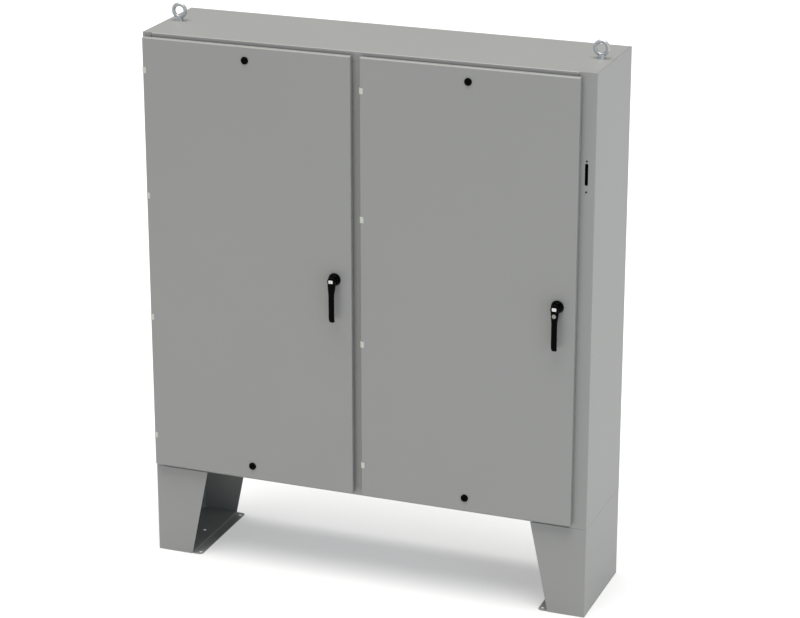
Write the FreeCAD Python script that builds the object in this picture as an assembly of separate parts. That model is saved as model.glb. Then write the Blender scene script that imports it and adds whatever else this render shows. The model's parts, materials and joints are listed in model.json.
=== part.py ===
import FreeCAD, Part
import math
import os
from FreeCAD import Vector

# Automatic transfer switch in a free-standing two-door steel enclosure.
# Millimetres. +Z is up and the doors face -Y. The origin is on the floor, at the centre of
# the four anchor holes, which is also the centre of the enclosure's width and depth.

# ---- enclosure: overall sizes
body_w = 1854.2
body_h = 1832.0
body_d = 452.0
stand_h = 378.0
sheet = 1.9              # 14 gauge
bend = 4.0               # outer radius of a bend

# ---- front frame of the enclosure
flange_right = 69.2
hinge_seal = 29.0        # a door's hinge edge to its opening
latch_seal = 18.5        # a door's other edge to its opening
lip = 37.0               # height of the header and of the sill
lip_set_back = 1.5
lip_end_gap = 1.5
collar_out = 14.0        # how far the sealing collar stands in front of the flange
collar_in = 12.0
post_d = 38.0
post_step = 1.0          # how far the post's face lies behind the header's
post_clear = 0.2

# ---- doors
door_edge_left = 8.0     # from the enclosure's left side to the left door's edge
door_lap_right = 11.5    # how far the right door covers the right flange
door_gap = 37.5          # between the two doors
door_end_gap = 16.0      # above and below the doors
door_d = 25.0            # front of the flange to the front of the door
door_clear = 3.5         # door's rear edge to the flange
door_bend = 4.5
corner_slit = 0.8        # open seam at each corner of the door's returns
relief_w = 4.0           # notches in the top return, near its corners
relief_depth = 2.5
relief_inset = 32.0
gasket_w = 12.0
gasket_clear = 0.3

# ---- hinges
hinge_count = 4
hinge_end = 130.0        # door's end to the nearest hinge
knuckle_h = 25.0
knuckle_r = 10.4         # the leaf's block fits inside this radius about the pin
knuckle_proud = 2.0      # beyond the door's edge
knuckle_round = 4.0
knuckle_neck = 7.0
notch_clear = 1.0        # above and below the leaf
swing_clear = 0.5        # leaf's block to the door's skin and arm as the door swings
hinge_inset_x = 6.5      # hinge axis from the door's edge
hinge_inset_y = 8.0      # hinge axis from the door's front
pin_r = 2.0
pin_clear = 0.1
ear_h = 8.0
ear_clear = 0.2          # hinge ears to the door's side return
ear_web = 4.4
leaf_thick = 1.8
leaf_w = 22.0
arm_plate = 2.4          # hinge arm's plate on the door

# ---- handle and three-point latch
handle_inset = 71.0
handle_base_r = 26.0
handle_base_h = 18.0
handle_base_top_r = 21.0
handle_base_round = 6.0
handle_spigot_r = 12.0
handle_spigot_len = 8.0
lever_front = 41.0       # door face to the front of the lever
lever_gap = 0.3          # lever's head to its base
lever_head_r = 17.5
lever_w = 23.0
lever_thick = 13.0
lever_len = 167.0
lever_neck = 60.0        # pivot to where the grip is its own width
lever_tip_back = 11.0
lever_tip_len = 12.0
shaft_r = 7.0
shaft_clear = 0.15
hole_clear = 0.2         # a hole in the door's skin round the part that passes it
hat_w = 54.0
hat_foot = 7.0
hat_d = 33.1
cam_rim = 7.0            # metal outside a cam's pins
cam_thick = 3.0
cam_pin_r = 3.0
cam_pin_circle = 18.0
cam_pin_play_x = 0.5
cam_pin_play_z = 0.8     # the rod follows the lever evenly and the pin does not
pin_eye = 10.0           # half of the eye at a rod's inner end
slide_clear = 1.0
rod_w = 16.0
rod_thick = 4.0
rod_tip_len = 28.0
rod_tip_w = 18.0
rod_tip_ramp = 10.0
rod_short = 8.0          # drawn-in rod tip to the collar
guide_wall = 4.0
guide_h = 20.0
guide_end = 60.0         # stiffener's end to the nearest guide
guide_clear = 0.4
stiffener_short = 30.0   # opening's end to the stiffeners' ends
brace_at = 235.0         # door's hinge edge to the middle of its brace
brace_w = 40.0
brace_foot = 12.0
brace_d = 20.0

# ---- quarter-turn latches
quarter_inset = 54.0     # from the door's top and bottom edges
quarter_head_r = 15.0
quarter_head_h = 4.0
quarter_barrel_r = 11.0
quarter_round = 1.5
quarter_core_r = 7.5
quarter_core_sunk = 0.4
quarter_slot_w = 2.0
quarter_slot_len = 11.0
quarter_barrel_len = 16.0
quarter_nut = 32.0
quarter_nut_h = 5.0
quarter_stem_r = 5.0
quarter_stem_past = 8.0  # stem beyond the latch rods' plane
quarter_cam_reach = 44.0
quarter_cam_w = 16.0
quarter_cam_thick = 3.0
quarter_cam_nut = 16.0
quarter_cam_nut_h = 6.0
lock_r = 8.0
lock_drop = 25.5
lock_proud = 1.2
lock_len = 16.0
lock_clear = 0.1
key_w = 2.0
key_len = 8.0
key_depth = 4.0

# ---- operator cut-out in the right flange
slot_inset = 33.9
slot_len = 86.7
slot_w = 13.0
slot_up = 525.8          # slot's centre above the door's mid height
operator_hole_r = 4.0
operator_hole_up = 51.6
operator_hole_down = 68.3

# ---- floor stands
stand_sheet = 2.7
stand_top_w = 230.0
stand_foot_w = 151.5
foot_reach = 194.0
foot_step = 3.0
foot_bend_w = 5.0
foot_corner = 15.0
anchor_r = 7.0
anchor_inset_x = 179.5
anchor_inset_y = 25.0
anchor_mid_x = 104.3
stand_flange = 42.0
stand_flange_short = 5.4 # flange's end inside the front plate's top corner
stand_round = 4.0
relief = 8.0             # corner reliefs in the foot plate
bolt_r = 6.0
bolt_hex = 18.0
bolt_head_h = 7.5
bolt_nut_h = 10.0
bolt_past_nut = 4.0
bolt_hole_clear = 0.5
bolt_from_side = (62.0, 180.0)
bolt_from_back = 22.7
thread_fit = 0.05        # a nut's bore outside its thread

# ---- lifting eyes
eye_inset = 54.0
eye_out_r = 33.0
eye_in_r = 17.8
eye_rise = 41.0
eye_shank_r = 8.0
eye_shank_len = 40.0
eye_neck_r = 12.5
eye_collar_r = 15.0
eye_pad = 60.0           # backing plate under the roof
eye_pad_thick = 5.0
eye_nut = 24.0
eye_nut_h = 13.0
roof_seam = 1.0          # open seam between the roof and each side panel

# ---- mounting panel
panel_margin = 95.0
panel_sheet = 2.7
panel_flange = 16.0
panel_standoff = 30.0
stud_r = 5.0
stud_rows = 4
stud_inset_x = 40.0
stud_inset_z = 60.0
stud_past = 16.0         # stud in front of the panel
stud_hole_clear = 0.5
washer_r = 11.0
washer_thick = 2.0
stud_nut = 16.0
stud_nut_h = 8.0

# ---- transfer switch
switch_w = 300.0
switch_h = 380.0
switch_d = 130.0
switch_gap = 240.0
switch_nose_w = 200.0
switch_nose_h = 180.0
switch_nose_d = 20.0
pole_pitch = 95.0
toggle_w = 16.0
toggle_thick = 10.0
toggle_tilt = 16.0
toggle_arm = 50.0        # pivot to the yoke
toggle_over = 20.0       # how far a toggle reaches past the yoke
toggle_pivot = 20.0      # pivot behind the nose's face
yoke_w = 36.0
yoke_thick = 6.0
yoke_past = 22.0         # yoke beyond each toggle
yoke_finger = 8.0
yoke_finger_h = 12.0
toggle_hub_r = 9.0
toggle_play = 1.0
case_gap = 2.0           # toggle to its slot's sides
case_round = 4.0
frame_d = 12.0
frame_wall = 3.0
frame_rail_w = 60.0      # the frame is two upright channels
frame_rail_at = 110.0    # bay's middle to the middle of each
frame_margin_z = 70.0
operator_w = 280.0
operator_h = 150.0
operator_front = 110.0   # operator's front and back, in front of the switch frame
operator_back = 50.0
operator_leg = 16.0
operator_guide_w = 60.0
operator_guide_h = 24.0
operator_guide_at = 50.0
operator_play = 0.5
finger_into = 14.0       # yoke's finger into the operator
lug = 36.0
lug_h = 45.0
lug_bore = 20.0
lug_back = 10.0          # solid end of a lug
lug_screw = 12.0
lug_screw_h = 6.0
lug_plane = 44.0         # backs of the source lugs, in front of the frame
load_lug_w = 45.0
load_lug_out = 90.0      # switch's side to the load lugs' middle
bar_w = 40.0
bar_thick = 8.0
bar_plane = 34.0
tap_h = 28.0
tap_gap = 4.0
phase_step = 42.0

# ---- control side
rail_bar_len = 440.0     # ground and neutral bars
rail_bar_h = 26.0
rail_bar_thick = 6.0
rail_leg_r = 9.0
rail_leg_inset = 15.0
rail_screw_r = 6.0
rail_screw_h = 4.0
rail_screw_pitch = 28.0
rail_screw_margin = 35.0
ground_up, ground_legs = 90.0, 20.0
neutral_up, neutral_legs = 190.0, 45.0
control_w, control_h, control_d = 260.0, 180.0, 62.0
control_up = 330.0
control_round = 6.0
screen_w, screen_h = 188.0, 110.0
screen_rise = 6.0
screen_sunk = 4.0
screen_thick = 3.0
screen_clear = 1.0
din_w, din_h, din_d = 460.0, 35.0, 7.5
terminal_up = 60.0
terminal_count = 24
terminal_pitch = 12.4
terminal_w = 12.0
terminal_h = 52.0
terminal_d = 52.0
terminal_step = 12.0
terminal_first = 180.0   # first terminal, left of the bay's middle
duct_w, duct_d, duct_wall = 50.0, 70.0, 2.0
duct_low, duct_high = -60.0, 470.0
duct_from_stud = 6.0
duct_break = 25.0        # left open where two ducts meet
duct_slot_w, duct_slot_pitch, duct_slot_back = 8.0, 20.0, 20.0
pocket_w, pocket_h, pocket_d, pocket_wall = 330.0, 260.0, 30.0, 1.2
pocket_from_brace = 40.0

# ---- places worked out from the sizes
xl, xr = -body_w / 2, body_w / 2
yf, yb = -body_d / 2, body_d / 2
zb, zt = stand_h, stand_h + body_h
zm = (zb + zt) / 2
y_lip = yf + lip_set_back
y_post = y_lip + post_step
open_z0, open_z1 = zb + lip, zt - lip

door_x0 = xl + door_edge_left
door_x3 = xr - flange_right + door_lap_right
door_w = (door_x3 - door_x0 - door_gap) / 2
doors = {"left": (door_x0, door_x0 + door_w), "right": (door_x3 - door_w, door_x3)}
door_z0, door_z1 = zb + door_end_gap, zt - door_end_gap
y_door = yf - door_d
y_skin = y_door + sheet
y_edge = yf - door_clear

openings = {s: (x0 + hinge_seal, x1 - latch_seal) for s, (x0, x1) in doors.items()}
post_x0, post_x1 = openings["left"][1], openings["right"][0]
flange_left = door_edge_left + hinge_seal
y_collar0, y_collar1 = yf - collar_out, yf + collar_in

hinge_y = y_door + hinge_inset_y
hinge_pitch = (door_z1 - door_z0 - 2 * hinge_end) / (hinge_count - 1)
hinge_zs = [door_z0 + hinge_end + i * hinge_pitch for i in range(hinge_count)]
notch_h = knuckle_h + 2 * notch_clear
sweep_r = knuckle_r + swing_clear
notch_w = hinge_inset_x + math.sqrt(sweep_r ** 2 - (hinge_inset_y - sheet) ** 2)
arm_plate_x = hinge_inset_x + sweep_r
ear_r = hinge_inset_x - sheet - ear_clear
y_hat = y_skin + hat_d
y_cam0 = y_hat + slide_clear
y_cam1 = y_cam0 + cam_thick
y_rod0 = y_cam1 + slide_clear
y_rod1 = y_rod0 + rod_thick
y_lever = y_door - lever_front
rod_x = cam_pin_circle * (1 + math.cos(math.radians(45))) / 2
rod_start = cam_pin_circle * math.sin(math.radians(45))
cam_r = cam_pin_circle + cam_pin_r + cam_rim
quarter_zs = {"upper": door_z1 - quarter_inset, "lower": door_z0 + quarter_inset}

panel_x = body_w / 2 - panel_margin
panel_z0, panel_z1 = zb + panel_margin, zt - panel_margin
y_panel = yb - sheet - panel_standoff
stud_xs = (-panel_x + stud_inset_x, panel_x - stud_inset_x)
stud_pitch = (panel_z1 - panel_z0 - 2 * stud_inset_z) / (stud_rows - 1)
stud_zs = [panel_z0 + stud_inset_z + i * stud_pitch for i in range(stud_rows)]
bay_left, bay_right = (sum(openings[s]) / 2 for s in ("left", "right"))

y_frame = y_panel - frame_d
y_case = y_frame - switch_d
y_nose = y_case - switch_nose_d
y_pivot = y_nose + toggle_pivot
y_yoke = y_pivot - toggle_arm
tilt = math.radians(toggle_tilt)
yoke_up = toggle_arm * math.tan(tilt)    # the yoke rests this far above mid travel
yoke_travel = 2 * yoke_up
pole_xs = [bay_right + i * pole_pitch for i in (-1, 0, 1)]
units = {"upper": (zm + switch_gap / 2, zm + switch_gap / 2 + switch_h),
         "lower": (zm - switch_gap / 2 - switch_h, zm - switch_gap / 2)}
load_lug_x = bay_right + switch_w / 2 + load_lug_out

X, Y, Z = Vector(1, 0, 0), Vector(0, 1, 0), Vector(0, 0, 1)
planes = {"xy": lambda u, v, w: Vector(u, v, w),
          "yz": lambda u, v, w: Vector(w, u, v),
          "xz": lambda u, v, w: Vector(u, w, v)}


# ---- shape helpers
def box(x0, x1, y0, y1, z0, z1):
    return Part.makeBox(x1 - x0, y1 - y0, z1 - z0, Vector(x0, y0, z0))


def cylinder(x, y, z, r, length, axis=Y):
    return Part.makeCylinder(r, length, Vector(x, y, z), axis)


def prism(points, plane, w0, w1):
    """A closed outline in a plane, extruded from w0 to w1 across it."""
    put = planes[plane]
    face = Part.Face(Part.makePolygon([put(u, v, w0) for u, v in points + points[:1]]))
    return face.extrude(put(0, 0, w1) - put(0, 0, w0))


def hexagon(x, y, z, across, length, axis=Z):
    """A hex head or nut: across its flats, standing on (x, y, z) along the axis."""
    r = across / math.sqrt(3)
    side = X if axis != X else Y
    up = axis.cross(side)
    points = []
    for i in range(7):
        a = math.radians(60 * i)
        points.append(Vector(x, y, z) + side * (r * math.cos(a)) + up * (r * math.sin(a)))
    return Part.Face(Part.makePolygon(points)).extrude(axis * length)


def rounded(points, radii):
    """Edges of an open path with each inner corner rounded by its own radius."""
    edges, last = [], points[0]
    for i in range(1, len(points) - 1):
        a = (points[i - 1] - points[i]).normalize()
        b = (points[i + 1] - points[i]).normalize()
        half = a.getAngle(b) / 2
        reach = radii[i - 1] / math.tan(half)
        start, end = points[i] + a * reach, points[i] + b * reach
        middle = points[i] + (a + b).normalize() * (radii[i - 1] / math.sin(half) - radii[i - 1])
        edges.append(Part.makeLine(last, start))
        edges.append(Part.Arc(start, middle, end).toShape())
        last = end
    return edges + [Part.makeLine(last, points[-1])]


def formed(path, plane, w0, w1, inside, thick=sheet, r=bend):
    """Bent sheet along one of its faces; the metal is on the path's left for 1, right for -1."""
    flat = [Vector(u, v, 0) for u, v in path]
    runs = [(b - a).normalize() for a, b in zip(flat, flat[1:])]
    sides = [Vector(-d.y, d.x, 0) * inside for d in runs]
    other = [flat[0] + sides[0] * thick]
    radii, other_radii = [], []
    for i in range(1, len(flat) - 1):
        turn = runs[i - 1].cross(runs[i]).z * inside
        cut = thick / (1 + sides[i - 1].dot(sides[i]))
        other.append(flat[i] + (sides[i - 1] + sides[i]) * cut)
        radii.append(r if turn > 0 else r - thick)
        other_radii.append(r - thick if turn > 0 else r)
    other.append(flat[-1] + sides[-1] * thick)
    put = planes[plane]
    near = [put(p.x, p.y, w0) for p in flat]
    far = [put(p.x, p.y, w0) for p in other]
    edges = rounded(near, radii) + [Part.makeLine(near[-1], far[-1])]
    edges += rounded(far[::-1], other_radii[::-1]) + [Part.makeLine(far[0], near[0])]
    outline = Part.Wire(Part.__sortEdges__(edges))
    return Part.Face(outline).extrude(put(0, 0, w1) - put(0, 0, w0))


def ring(x0, x1, z0, z1, wall, y0, y1):
    """A rectangular frame of one wall thickness, in the plane of the doors."""
    inner = box(x0 + wall, x1 - wall, y0 - 1, y1 + 1, z0 + wall, z1 - wall)
    return box(x0, x1, y0, y1, z0, z1).cut(inner)


def cut_all(shape, tools):
    for t in tools:
        shape = shape.cut(t)
    return shape


def soften(shape, r, keep):
    """Fillets the straight edges whose two end points both satisfy keep."""
    edges = [e for e in shape.Edges if all(keep(v.Point) for v in e.Vertexes)]
    return shape.makeFillet(r, edges)


def nut(x, y, z, across, height, bore_r, axis=Z):
    """A hex nut or washer-headed part with a clear bore, standing on (x, y, z)."""
    start = Vector(x, y, z) - axis
    bore = Part.makeCylinder(bore_r + thread_fit, height + 2, start, axis)
    return hexagon(x, y, z, across, height, axis).cut(bore)


def mirror_x(shape):
    return shape.mirror(Vector(0, 0, 0), X)


# ---- enclosure body
def side_panel_left():
    path = [(xl, yb), (xl, yf), (xl + flange_left, yf)]
    return [formed(path, "xy", zb, zt, 1)]


def side_panel_right():
    path = [(xr, yb), (xr, yf), (xr - flange_right, yf)]
    panel = formed(path, "xy", zb, zt, -1)
    strip = box(openings["right"][1], xr - flange_right + bend, yf, yf + sheet, open_z0, open_z1)
    panel = panel.fuse(strip).removeSplitter()
    x, z = xr - slot_inset, zm + slot_up
    half, straight = slot_w / 2, (slot_len - slot_w) / 2
    through = 3 * sheet
    y0 = yf - sheet
    cuts = [box(x - half, x + half, y0, y0 + through, z - straight, z + straight)]
    cuts += [cylinder(x, y0, z + s * straight, half, through) for s in (-1, 1)]
    cuts += [cylinder(x, y0, z + d, operator_hole_r, through)
             for d in (operator_hole_up, -operator_hole_down)]
    return [cut_all(panel, cuts)]


def lipped_panel(z_face, z_lip_end, inward, seam):
    """The roof or the bottom: a flat sheet with a bent lip between the two side flanges."""
    path = [(yb - sheet, z_face), (y_lip, z_face), (y_lip, z_lip_end)]
    x0 = xl + flange_left + lip_end_gap
    x1 = xr - flange_right - lip_end_gap
    panel = formed(path, "yz", x0, x1, -inward)
    z0, z1 = sorted((z_face, z_face + inward * sheet))
    for a, b in ((xl + sheet + seam, x0), (x1, xr - sheet - seam)):
        panel = panel.fuse(box(a, b, yf + bend, yb - sheet, z0, z1))
    return panel.removeSplitter()


def hole_z(x, y, z, r):
    """A tool for a hole through a sheet that lies near z."""
    return cylinder(x, y, z - 2 * bend, r, 4 * bend, Z)


eye_xs = (xl + eye_inset, xr - eye_inset)


def roof_panel():
    panel = lipped_panel(zt, open_z1, -1, roof_seam)
    return [cut_all(panel, [hole_z(x, 0, zt, eye_shank_r + bolt_hole_clear) for x in eye_xs])]


bolt_places = [(s * (xr - dx), t * (yb - bolt_from_back)) for s in (-1, 1) for t in (-1, 1)
               for dx in bolt_from_side]


def bottom_panel():
    panel = lipped_panel(zb, open_z0, 1, 0)
    holes = [hole_z(x, y, zb, bolt_r + bolt_hole_clear) for x, y in bolt_places]
    return [cut_all(panel, holes)]


def back_panel():
    return [box(xl + sheet, xr - sheet, yb - sheet, yb, zb, zt)]


def door_collars():
    return [ring(x0, x1, open_z0, open_z1, sheet, y_collar0, y_collar1)
            for x0, x1 in openings.values()]


def center_post():
    x0, x1 = post_x0 + post_clear, post_x1 - post_clear
    path = [(x0, y_post + post_d), (x0, y_post), (x1, y_post), (x1, y_post + post_d)]
    post = formed(path, "xy", open_z0, open_z1, 1)
    for z0 in (open_z0, open_z1 - sheet):
        post = post.fuse(box(x0 + sheet, x1 - sheet, y_post + sheet, y_post + post_d,
                             z0, z0 + sheet))
    return [post.removeSplitter()]


# ---- floor stands
def floor_stand(side):
    x_in = xl + stand_sheet
    foot_z = foot_step + stand_sheet
    stand = box(xl, x_in, yf, yb, 0, stand_h)
    outline = [(xl, 0), (xl + stand_foot_w, 0), (xl + stand_top_w, stand_h), (xl, stand_h)]
    for y0 in (yf, yb - stand_sheet):
        stand = stand.fuse(prism(outline, "xz", y0, y0 + stand_sheet))
    z0 = stand_h - stand_sheet
    for y0, y1 in ((yf, yf + stand_flange), (yb - stand_flange, yb)):
        stand = stand.fuse(box(xl, xl + stand_top_w - stand_flange_short, y0, y1, z0, stand_h))
    stand = stand.fuse(box(xl, xl + stand_flange, yf, yb, z0, stand_h)).removeSplitter()

    def on_bend(p, q):
        same_side = abs(p.x - xl) < 0.01 and abs(q.x - xl) < 0.01
        same_front = abs(p.y - q.y) < 0.01 and (abs(p.y - yf) < 0.01 or abs(p.y - yb) < 0.01)
        at_top = p.z > stand_h - 0.01 and q.z > stand_h - 0.01
        return (same_side and same_front) or (at_top and (same_side or same_front))

    bends = [e for e in stand.Edges if on_bend(*(v.Point for v in e.Vertexes))]
    stand = stand.makeFillet(min(stand_round, stand_sheet * 0.9), bends)

    x_bend = xl + stand_foot_w + foot_bend_w
    x_end = xl + foot_reach
    foot = [(x_in, foot_step), (x_bend - foot_bend_w, foot_step), (x_bend, 0), (x_end, 0),
            (x_end, stand_sheet), (x_bend, stand_sheet), (x_bend - foot_bend_w, foot_z),
            (x_in, foot_z)]
    plate = prism(foot, "xz", yf + stand_sheet, yb - stand_sheet)
    corners = [e for e in plate.Edges
               if all(abs(v.X - x_end) < 0.01 for v in e.Vertexes)
               and abs(e.Vertexes[0].Z - e.Vertexes[-1].Z) > 1]
    plate = plate.makeFillet(foot_corner, corners)
    for y0 in (yf + stand_sheet, yb - stand_sheet - relief):
        plate = plate.cut(box(x_in, x_in + relief, y0, y0 + relief, 0, 2 * foot_z))
    stand = stand.fuse(plate)

    anchors = [(anchor_inset_x, yf + anchor_inset_y), (anchor_inset_x, yb - anchor_inset_y),
               (anchor_mid_x, 0)]
    holes = [hole_z(xl + dx, y, 0, anchor_r) for dx, y in anchors]
    holes += [hole_z(x, y, stand_h, bolt_r + bolt_hole_clear) for x, y in bolt_places if x < 0]
    stand = cut_all(stand, holes).removeSplitter()
    return [stand if side == "left" else mirror_x(stand)]


def stand_bolts():
    made = []
    z_nut = stand_h - stand_sheet - bolt_nut_h
    z_end = z_nut - bolt_past_nut
    for x, y in bolt_places:
        head = hexagon(x, y, zb + sheet, bolt_hex, bolt_head_h)
        shank = cylinder(x, y, z_end, bolt_r, zb + sheet - z_end, Z)
        made.append(head.fuse(shank).removeSplitter())
        made.append(nut(x, y, z_nut, bolt_hex, bolt_nut_h, bolt_r))
    return made


# ---- lifting eyes
def eyebolts():
    made = []
    wire_r = (eye_out_r - eye_in_r) / 2
    neck_top = eye_rise - eye_in_r - wire_r
    for x in eye_xs:
        eye = Part.makeTorus(eye_in_r + wire_r, wire_r, Vector(x, 0, zt + eye_rise), Y)
        neck = Part.makeCone(eye_collar_r, eye_neck_r, neck_top, Vector(x, 0, zt), Z)
        shank = cylinder(x, 0, zt - eye_shank_len, eye_shank_r, eye_shank_len, Z)
        made.append(eye.fuse([neck, shank]).removeSplitter())
    return made


def eyebolt_nuts():
    made = []
    z_pad = zt - sheet - eye_pad_thick
    half = eye_pad / 2
    for x in eye_xs:
        pad = box(x - half, x + half, -half, half, z_pad, z_pad + eye_pad_thick)
        pad = pad.cut(hole_z(x, 0, z_pad, eye_shank_r + bolt_hole_clear))
        made.append(pad)
        made.append(nut(x, 0, z_pad - eye_nut_h, eye_nut, eye_nut_h, eye_shank_r))
    return made


# ---- doors
def handle_x(side):
    return doors[side][1] - handle_inset


def door_pan(side, inset, r):
    """The door's outer block, or with an inset the hollow inside it."""
    x0, x1 = doors[side]
    y0, y1 = y_door + inset, y_edge + inset
    pan = box(x0 + inset, x1 - inset, y0, y1, door_z0 + inset, door_z1 - inset)
    return soften(pan, r, lambda p: abs(p.y - y0) < 0.01)


def corner_slits(side):
    x0, x1 = doors[side]
    long, half = 4 * sheet, corner_slit / 2
    made = []
    for x, sx in ((x0, 1), (x1, -1)):
        for z, sz in ((door_z0, 1), (door_z1, -1)):
            slit = box(-long, long, y_door + door_bend, y_edge + sheet, -half, half)
            slit.rotate(Vector(0, 0, 0), Y, -45 * sx * sz)
            slit.translate(Vector(x, 0, z))
            made.append(slit)
    return made


def door_panel(side):
    x0, x1 = doors[side]
    door = door_pan(side, 0, door_bend).cut(door_pan(side, sheet, door_bend - sheet))
    cuts = corner_slits(side)
    for z in hinge_zs:
        cuts.append(box(x0 - sheet, x0 + notch_w, y_door - sheet, y_edge + sheet,
                        z - notch_h / 2, z + notch_h / 2))
    for x in (x0 + relief_inset, x1 - relief_inset):
        cuts.append(box(x - relief_w / 2, x + relief_w / 2, y_edge - relief_depth,
                        y_edge + sheet, door_z1 - 2 * sheet, door_z1 + sheet))
    through = 3 * sheet
    cuts.append(cylinder(handle_x(side), y_door - sheet, zm, handle_spigot_r + hole_clear,
                         through))
    for z in quarter_zs.values():
        cuts.append(cylinder((x0 + x1) / 2, y_door - sheet, z, quarter_barrel_r + hole_clear,
                             through))
    return [cut_all(door, cuts)]


def hat(x, w, foot, depth):
    """A hat-section stiffener welded to the inside of the door skin."""
    half = w / 2 - sheet
    y0, y1 = y_skin, y_skin + depth - sheet
    path = [(x - w / 2 - foot, y0), (x - half, y0), (x - half, y1),
            (x + half, y1), (x + half, y0), (x + w / 2 + foot, y0)]
    return formed(path, "xy", open_z0 + stiffener_short, open_z1 - stiffener_short, 1)


def door_stiffener(side):
    x = handle_x(side)
    latch = hat(x, hat_w, hat_foot, hat_d)
    latch = latch.cut(cylinder(x, y_hat - 2 * sheet, zm, shaft_r + sheet, 4 * sheet))
    brace = hat(doors[side][0] + brace_at, brace_w, brace_foot, brace_d)
    return [latch, brace]


def door_gasket(side):
    a, b = openings[side]
    grow = (gasket_w - sheet) / 2
    return [ring(a - grow, b + grow, open_z0 - grow, open_z1 + grow, gasket_w,
                 y_skin, y_collar0 - gasket_clear)]


# ---- hinges: a leaf on the body holds the pin, and two ears on the door turn about it
def hinge_leaves():
    made = []
    for side, (x0, _) in doors.items():
        y_end = yf if side == "left" else y_post
        left = x0 - knuckle_proud
        for z in hinge_zs:
            a, b = z - knuckle_h / 2, z + knuckle_h / 2
            pin = Vector(x0 + hinge_inset_x, hinge_y, a)
            block = box(left, x0 + 3 * knuckle_r, y_door - leaf_thick / 6, hinge_y + knuckle_neck,
                        a, b)
            corner = [e for e in block.Edges
                      if all(v.X < x0 and v.Y < y_door for v in e.Vertexes)
                      and abs(e.Vertexes[0].Z - e.Vertexes[-1].Z) > 1]
            block = block.makeFillet(knuckle_round, corner)
            block = block.common(Part.makeCylinder(knuckle_r, knuckle_h, pin, Z))
            neck = box(left, x0 + hinge_inset_x, hinge_y + pin_r + 1, y_end, a, b)
            foot = box(left, x0 + leaf_w, y_end - leaf_thick, y_end, a, b)
            leaf = block.fuse([neck, foot]).removeSplitter()
            made.append(leaf.cut(Part.makeCylinder(pin_r, knuckle_h, pin, Z)))
    return made


def hinge_pins():
    half = notch_h / 2 + ear_h
    return [cylinder(x0 + hinge_inset_x, hinge_y, z - half, pin_r, 2 * half, Z)
            for x0, _ in doors.values() for z in hinge_zs]


def hinge_arms(side):
    made = []
    x0 = doors[side][0]
    x, x_plate = x0 + hinge_inset_x, x0 + arm_plate_x
    for z in hinge_zs:
        low, high = z - notch_h / 2 - ear_h, z + notch_h / 2
        arm = box(x_plate, x_plate + arm_plate, y_skin, hinge_y + ear_r, low, high + ear_h)
        for a in (low, high):
            arm = arm.fuse(cylinder(x, hinge_y, a, ear_r, ear_h, Z))
            arm = arm.fuse(box(x, x_plate, hinge_y - ear_web / 2, hinge_y + ear_web / 2,
                               a, a + ear_h))
        bore = cylinder(x, hinge_y, low, pin_r + pin_clear, high + ear_h - low, Z)
        made.append(arm.cut(bore).removeSplitter())
    return made


# ---- handle and three-point latch
def handle_base(side):
    x = handle_x(side)
    dome = Part.makeCone(handle_base_r, handle_base_top_r, handle_base_h,
                         Vector(x, y_door, zm), -Y)
    y_front = y_door - handle_base_h
    rim = [e for e in dome.Edges if abs(e.CenterOfMass.y - y_front) < 0.01]
    dome = dome.makeFillet(handle_base_round, rim)
    dome = dome.fuse(cylinder(x, y_door, zm, handle_spigot_r, handle_spigot_len))
    bore = cylinder(x, y_front, zm, shaft_r + shaft_clear, handle_base_h + handle_spigot_len)
    return [dome.cut(bore).removeSplitter()]


def handle_lever(side):
    x = handle_x(side)
    y_grip = y_lever + lever_thick
    half = lever_w / 2
    neck, tip = zm - lever_neck, zm - lever_len
    head_d = lever_front - handle_base_h - lever_gap
    lever = cylinder(x, y_lever, zm, lever_head_r, head_d)
    flare = [(x - lever_head_r, zm), (x + lever_head_r, zm), (x + half, neck), (x - half, neck)]
    grip = box(x - half, x + half, y_lever, y_grip, tip, neck)
    hook = box(x - half, x + half, y_lever, y_grip + lever_tip_back, tip, tip + lever_tip_len)
    shaft = cylinder(x, y_lever + head_d, zm, shaft_r, y_cam0 - y_lever - head_d)
    lever = lever.fuse([prism(flare, "xz", y_lever, y_grip), grip, hook, shaft])
    if side == "right":
        lever = lever.cut(cylinder(x, y_lever - lock_proud, zm - lock_drop,
                                   lock_r + lock_clear, 3 * lever_thick))
    return [lever.removeSplitter()]


def lock_cylinder():
    x, z = handle_x("right"), zm - lock_drop
    y0 = y_lever - lock_proud
    barrel = cylinder(x, y0, z, lock_r, lock_len)
    keyway = box(x - key_w / 2, x + key_w / 2, y0, y0 + key_depth,
                 z - key_len / 2, z + key_len / 2)
    return [barrel.cut(keyway)]


def latch_cam(side):
    x = handle_x(side)
    disc = cylinder(x, y_cam0, zm, cam_r, cam_thick)
    for s in (-1, 1):
        disc = disc.fuse(cylinder(x + s * rod_start, y_cam0, zm + s * rod_start, cam_pin_r,
                                  y_rod1 + cam_thick - y_cam0))
    return [disc.removeSplitter()]


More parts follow.
